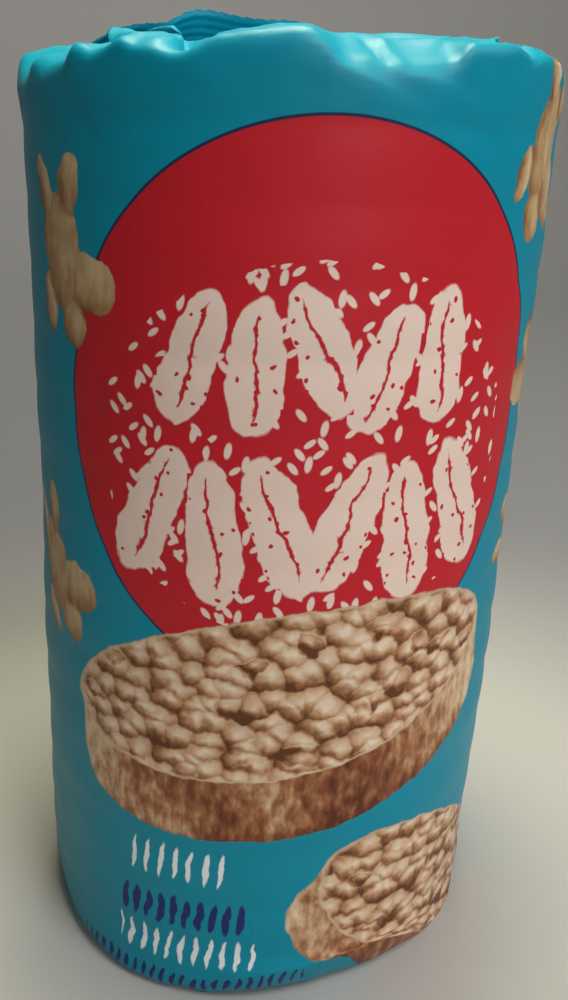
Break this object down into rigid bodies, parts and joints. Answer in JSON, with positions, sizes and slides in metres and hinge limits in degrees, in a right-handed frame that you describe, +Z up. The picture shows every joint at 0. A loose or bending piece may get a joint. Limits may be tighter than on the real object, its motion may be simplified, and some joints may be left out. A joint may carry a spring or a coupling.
{
  "type": "wrapped rice cake pack",
  "caption": "Sealed printed film pack of round puffed rice cakes, a tube with folded ends that stands upright.",
  "frame": {"origin": "middle of the flat base that the pack stands on", "axes": "+Z up along the stack, -Y out of the printed front, +X to the right of someone facing the front"},
  "size_m": [0.0979, 0.0944, 0.1738],
  "materials": {
    "printed_film": "satin printed plastic film, teal with a red disc"
  },
  "bodies": {
    "root": {"pack": "printed_film"}
  },
  "joints": []
}
